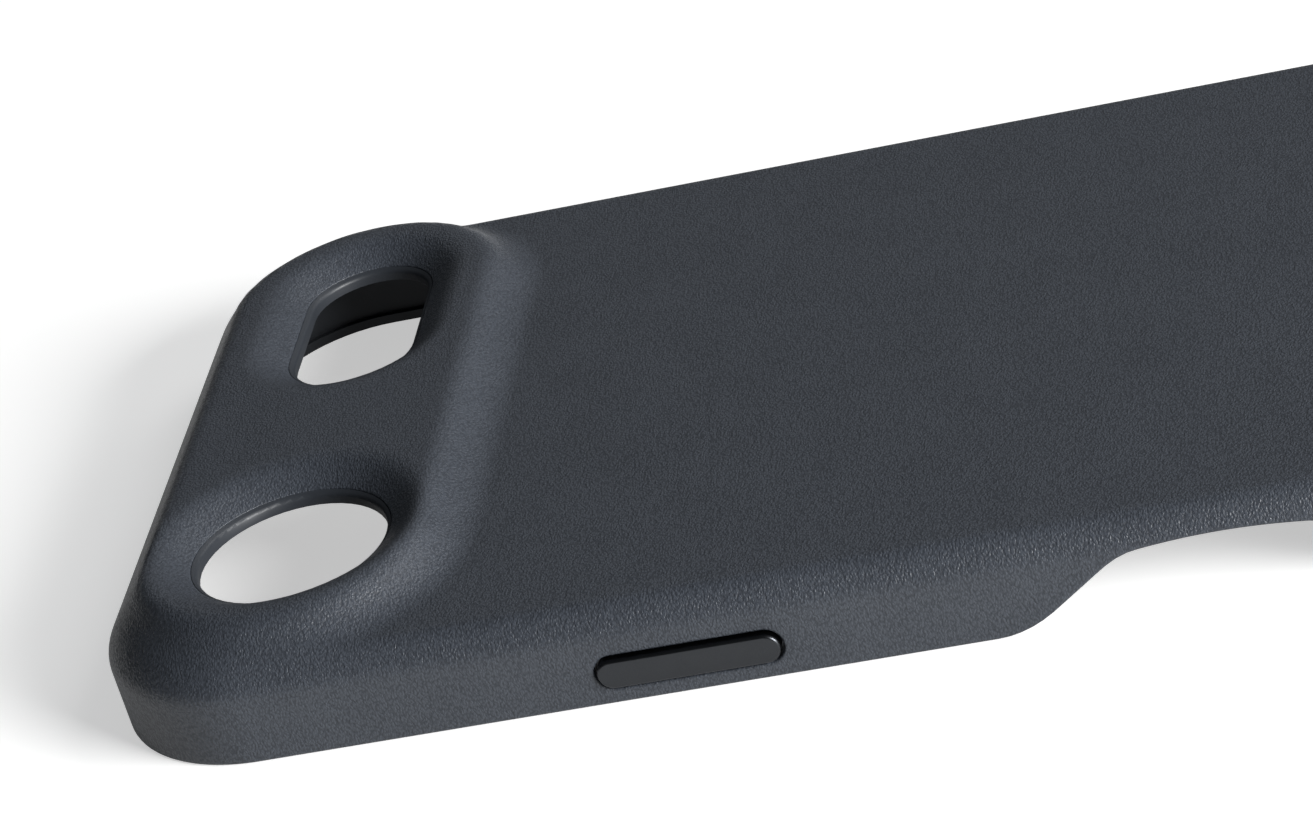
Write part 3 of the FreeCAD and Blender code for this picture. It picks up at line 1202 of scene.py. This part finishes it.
@dataclass(frozen=True)
class PhotoCamera:
    """Camera at the photograph's place, in the case's frame.

    Attributes:
        place: Its place in metres.
        right: Direction of the image's right side.
        down: Direction of the image's lower side.
        ahead: Direction of view.
        focal: Focal length in pixels of the 1313 by 829 image.
        clip: Nearest and farthest distance that it sees.
    """

    place: tuple[float, float, float] = (-0.334002, -0.045652, 0.184374)
    right: tuple[float, float, float] = (0.09536685, -0.96305797, -0.25184222)
    down: tuple[float, float, float] = (-0.49860733, 0.17275587, -0.84943872)
    ahead: tuple[float, float, float] = (0.86156596, 0.20657867, -0.46371258)
    focal: float = 4367.08
    image_width: float = 1313.0
    sensor: float = 36.0
    clip: tuple[float, float] = (0.01, 20.0)

    def build(self) -> None:
        """Add the camera and make it the scene's own."""
        data = bpy.data.cameras.new("photo_camera")
        data.sensor_width = self.sensor
        data.lens = self.focal / self.image_width * self.sensor
        data.clip_start, data.clip_end = self.clip
        camera = bpy.data.objects.new("photo_camera", data)
        columns = (Vector(self.right), -Vector(self.down), -Vector(self.ahead))
        turn = Matrix(columns).transposed().to_4x4()
        camera.matrix_world = Matrix.Translation(self.place) @ turn
        bpy.context.scene.collection.objects.link(camera)
        bpy.context.scene.camera = camera


@dataclass(frozen=True)
class SoftBox:
    """A large soft lamp that points at the case."""

    name: str
    place: tuple[float, float, float]
    target: tuple[float, float, float]
    size: tuple[float, float]
    power: float

    def build(self) -> None:
        """Add the lamp."""
        data = bpy.data.lights.new(self.name, "AREA")
        data.shape = "RECTANGLE"
        data.size, data.size_y = self.size
        data.energy = self.power
        lamp = bpy.data.objects.new(self.name, data)
        lamp.location = self.place
        aim = Vector(self.target) - Vector(self.place)
        lamp.rotation_euler = aim.to_track_quat("-Z", "Y").to_euler()
        bpy.context.scene.collection.objects.link(lamp)


@dataclass(frozen=True)
class Studio:
    """Pale floor, soft lamps and a plain surround."""

    floor_size: float = 6.0
    floor_colour: tuple[float, float, float] = (0.86, 0.86, 0.85)
    floor_roughness: float = 0.9
    floor_specular: float = 0.1
    glow: float = 0.52
    mirrored_glow: float = 0.2
    surround: tuple[float, float, float] = (0.86, 0.93, 1.0)
    surround_strength: float = 0.06
    lamps: tuple[SoftBox, ...] = (
        SoftBox("side_lamp", (-0.5, -0.8, 0.34), (0.0, 0.02, 0.0), (0.5, 0.4), 19.5),
        SoftBox("high_lamp", (0.37, -0.62, 0.67), (0.0, 0.02, 0.0), (0.5, 0.5), 2.5),
        SoftBox("rear_lamp", (0.84, 0.14, 0.53), (0.0, 0.02, 0.0), (0.8, 0.5), 0.38),
    )

    def floor_material(self) -> bpy.types.Material:
        """Make the floor's finish, which seen directly is nearly white.

        Returns:
            The material.
        """
        material = bpy.data.materials.new("pale_floor")
        material.use_nodes = True
        sheet = NodeSheet(material.node_tree)
        shader = next(n for n in material.node_tree.nodes if n.type == "BSDF_PRINCIPLED")
        output = next(n for n in material.node_tree.nodes if n.type == "OUTPUT_MATERIAL")
        shader.inputs["Base Color"].default_value = (*self.floor_colour, 1.0)
        shader.inputs["Roughness"].default_value = self.floor_roughness
        shader.inputs["Specular IOR Level"].default_value = self.floor_specular
        white = sheet.add("Emission", Color=(1.0, 1.0, 1.0, 1.0))
        path = sheet.add("LightPath")
        glossy, passed = path.outputs["Is Glossy Ray"], path.outputs["Is Transmission Ray"]
        mirrored = sheet.maths("MAXIMUM", glossy, passed)
        direct = sheet.maths("MULTIPLY", path.outputs["Is Camera Ray"], self.glow)
        mirrored = sheet.maths("MULTIPLY", mirrored, self.mirrored_glow)
        sheet.link(sheet.maths("MAXIMUM", direct, mirrored), white.inputs["Strength"])
        blend = sheet.add("AddShader")
        sheet.link(shader.outputs[0], blend.inputs[0])
        sheet.link(white.outputs[0], blend.inputs[1])
        sheet.link(blend.outputs[0], output.inputs["Surface"])
        return material

    def build(self) -> None:
        """Add floor, lamps and surround."""
        bpy.ops.object.select_all(action="DESELECT")
        bpy.ops.mesh.primitive_plane_add(size=self.floor_size)
        floor = new_piece("floor")
        floor.data.materials.append(self.floor_material())
        for lamp in self.lamps:
            lamp.build()
        world = bpy.data.worlds.new("surround")
        world.use_nodes = True
        background = next(n for n in world.node_tree.nodes if n.type == "BACKGROUND")
        background.inputs["Color"].default_value = (*self.surround, 1.0)
        background.inputs["Strength"].default_value = self.surround_strength
        bpy.context.scene.world = world
        bpy.context.scene.view_settings.view_transform = "Standard"


@dataclass(frozen=True)
class EndSlot:
    """A slot through the end wall."""

    x: float
    length: float
    height: float
    z: float = 3.75 * MM


CONTROLS = (
    Control(Body.SIDE, Wall.NEAR, 28.25 * MM, 15.4 * MM),
    Control(Body.VOLUME_UP, Wall.FAR, 32.0 * MM, 10.5 * MM),
    Control(Body.VOLUME_DOWN, Wall.FAR, 18.5 * MM, 10.5 * MM),
    Control(Body.ACTION, Wall.FAR, 46.0 * MM, 7.4 * MM),
)
END_SLOTS = (
    EndSlot(0.0 * MM, 12.6 * MM, 5.0 * MM),
    EndSlot(19.5 * MM, 14.0 * MM, 2.0 * MM),
    EndSlot(-19.5 * MM, 14.0 * MM, 2.0 * MM),
)


def leather_cutters(form: CaseForm) -> list[bpy.types.Object]:
    """Model the cutters of all openings in the leather.

    Args:
        form: The case's form.

    Returns:
        The closed meshes.
    """
    slots = Slots(form)
    cutters = [slots.back(opening) for opening in form.openings]
    for c in CONTROLS:
        length, height = c.length + 2 * c.gap, c.height + 2 * c.gap
        cutters.append(slots.side(c.wall, (c.y, c.z), length, height, form.width / 2))
    for s in END_SLOTS:
        place = (s.x, s.z)
        cutters.append(slots.side(Wall.BOTTOM, place, s.length, s.height, form.length / 2))
    return cutters


def main() -> None:
    """Build every piece from the solids' sizes and dress it."""
    logging.basicConfig(level=logging.INFO, format="%(name)s: %(message)s")
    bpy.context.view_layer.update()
    PhotoCamera().build()
    Studio().build()

    low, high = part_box("leather_skin")
    form = CaseForm(high.x - low.x, high.y - low.y, low.z, high.z)
    grain, speckle = grain_group(), speckle_group()
    skin = LeatherSkin(form, PlanGrid(form)).build(leather_cutters(form))
    dress(skin, LEATHER.material(grain), Body.CASE, Slot.LEATHER, "leather_skin")
    shell = Shell().build()
    dress(shell, MOULDING.material(speckle), Body.CASE, Slot.SHELL, "inner_shell")
    lining = Lining().build()
    dress(lining, NAP.material(speckle), Body.CASE, Slot.LINING, "back_lining")
    metal = ANODISED.material(speckle)
    for c in CONTROLS:
        dress(c.build(), metal, c.body, Slot.CONTROL, c.body.value)


if __name__ == "__main__":
    main()
